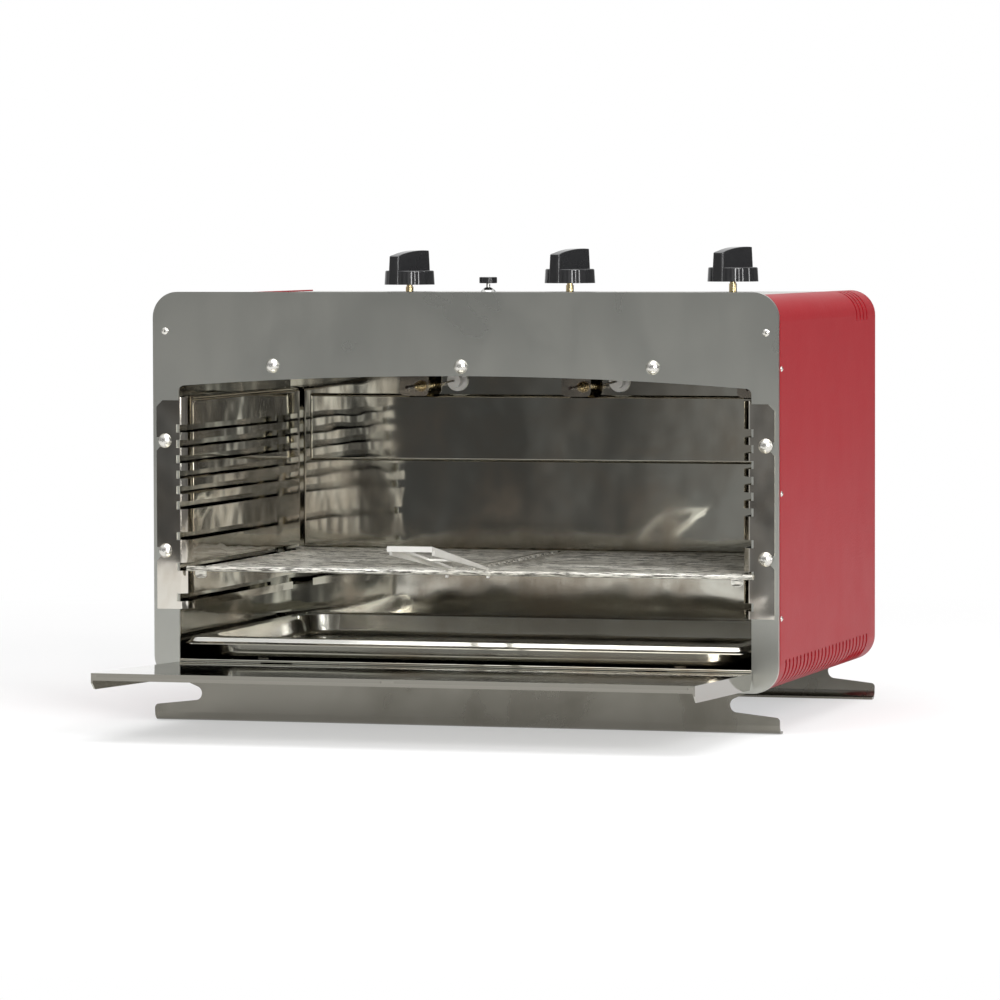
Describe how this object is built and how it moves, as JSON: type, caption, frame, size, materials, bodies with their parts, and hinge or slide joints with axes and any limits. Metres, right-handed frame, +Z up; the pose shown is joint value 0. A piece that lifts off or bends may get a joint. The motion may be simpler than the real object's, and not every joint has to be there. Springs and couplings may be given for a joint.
{
  "type": "tabletop gas grill",
  "caption": "Open-fronted tabletop gas grill with overhead infrared burners, side rails, slotted grates, drip tray, front ledge, control knobs and an igniter.",
  "frame": {"origin": "bottom centre of the whole, on the surface that the feet stand on", "axes": "+Z up, +Y to the rear, +X to the right when looking into the open front"},
  "size_m": [0.6032, 0.6468, 0.44],
  "materials": {
    "satin_steel": "satin stainless sheet, close to a mirror",
    "red_powder_coat": "red powder coat, semi-gloss",
    "cavity_steel": "bright stainless sheet, tinted by heat",
    "mirror_steel": "mirror-finish stainless sheet",
    "zinc_sheet": "zinc-coated sheet, dull",
    "grate_steel": "electropolished stainless",
    "tray_steel": "deep-drawn stainless, satin",
    "burner_steel": "stainless burner box, heat tinted",
    "ceramic": "unglazed ceramic, matt",
    "white_ceramic": "glazed white ceramic",
    "brass": "turned brass",
    "gas_line_steel": "steel tube, grey paint",
    "black_plastic": "gloss black plastic",
    "chrome": "bright chrome plate",
    "spring_steel": "drawn spring wire",
    "screw_steel": "bright stainless screws"
  },
  "bodies": {
    "cabinet": {"bottom_panel": "zinc_sheet", "burner_housing_1": "burner_steel", "burner_housing_2": "burner_steel", "burner_housing_3": "burner_steel", "burner_plaque_1": "ceramic", "burner_plaque_2": "ceramic", "burner_plaque_3": "ceramic", "cavity_back": "cavity_steel", "cavity_floor": "cavity_steel", "cavity_wall_left": "cavity_steel", "cavity_wall_right": "cavity_steel", "cover_screws": "screw_steel", "dome_screws": "screw_steel", "electrode_ceramics": "white_ceramic", "electrode_wires": "spring_steel", "floor_bearers": "zinc_sheet", "frame_rivets": "screw_steel", "front_foot": "satin_steel", "front_frame": "satin_steel", "gas_inlet": "brass", "gas_manifold": "gas_line_steel", "heat_shield": "cavity_steel", "hood_plate": "cavity_steel", "igniter_bezel": "chrome", "igniter_body": "black_plastic", "igniter_spring": "spring_steel", "injectors": "brass", "left_side_cover": "red_powder_coat", "manifold_brackets": "zinc_sheet", "mixing_tube_1": "burner_steel", "mixing_tube_2": "burner_steel", "mixing_tube_3": "burner_steel", "rail_insert_left": "mirror_steel", "rail_insert_right": "mirror_steel", "rear_cover": "red_powder_coat", "rear_foot": "satin_steel", "right_side_cover": "red_powder_coat", "sensor_brackets": "burner_steel", "thermocouples": "brass", "top_cover": "satin_steel", "valve_body_1": "brass", "valve_body_2": "brass", "valve_body_3": "brass", "valve_springs": "spring_steel"},
    "tray": {"drip_tray": "tray_steel"},
    "ledge": {"front_ledge": "mirror_steel"},
    "grate": {"grate_frame": "grate_steel", "grate_plate_left": "grate_steel", "grate_plate_right": "grate_steel"},
    "lifter": {"grate_handle": "grate_steel"},
    "igniter_push": {"igniter_button": "black_plastic"},
    "press_1": {"valve_push_rod_1": "brass"},
    "turn_1": {"valve_spindle_1": "brass", "knob_1": "black_plastic"},
    "press_2": {"valve_push_rod_2": "brass"},
    "turn_2": {"valve_spindle_2": "brass", "knob_2": "black_plastic"},
    "press_3": {"valve_push_rod_3": "brass"},
    "turn_3": {"valve_spindle_3": "brass", "knob_3": "black_plastic"}
  },
  "joints": [
    {"name": "tray_slide", "type": "slide", "parent": "cabinet", "child": "tray", "axis": [0, -0.9996, 0.0299], "range_m": [0, 0.25]},
    {"name": "ledge_slide", "type": "slide", "parent": "cabinet", "child": "ledge", "axis": [0, -0.9996, 0.0299], "range_m": [0, 0.015]},
    {"name": "grate_slide", "type": "slide", "parent": "cabinet", "child": "grate", "axis": [0, -1, 0], "range_m": [0, 0.24]},
    {"name": "lifter_tilt", "type": "hinge", "parent": "grate", "child": "lifter", "pos_m": [0.0068, -0.1, 0.14257], "axis": [-1, 0, 0], "range_deg": [0, 60]},
    {"name": "igniter_press", "type": "slide", "parent": "cabinet", "child": "igniter_push", "axis": [0, 0, -1], "range_m": [0, 0.0033], "stiffness_N_per_m": 1500, "springref_m": -0.003, "deforming": ["igniter_spring"]},
    {"name": "press_1_slide", "type": "slide", "parent": "cabinet", "child": "press_1", "axis": [0, 0, -1], "range_m": [0, 0.004], "stiffness_N_per_m": 1500, "springref_m": -0.004, "deforming": ["valve_springs"]},
    {"name": "knob_1_turn", "type": "hinge", "parent": "press_1", "child": "turn_1", "pos_m": [-0.163, 0.2696, 0.41], "axis": [0, 0, 1], "range_deg": [0, 210]},
    {"name": "press_2_slide", "type": "slide", "parent": "cabinet", "child": "press_2", "axis": [0, 0, -1], "range_m": [0, 0.004], "stiffness_N_per_m": 1500, "springref_m": -0.004},
    {"name": "knob_2_turn", "type": "hinge", "parent": "press_2", "child": "turn_2", "pos_m": [0.0015, 0.2696, 0.41], "axis": [0, 0, 1], "range_deg": [0, 210]},
    {"name": "press_3_slide", "type": "slide", "parent": "cabinet", "child": "press_3", "axis": [0, 0, -1], "range_m": [0, 0.004], "stiffness_N_per_m": 1500, "springref_m": -0.004},
    {"name": "knob_3_turn", "type": "hinge", "parent": "press_3", "child": "turn_3", "pos_m": [0.166, 0.2696, 0.41], "axis": [0, 0, 1], "range_deg": [0, 210]}
  ]
}
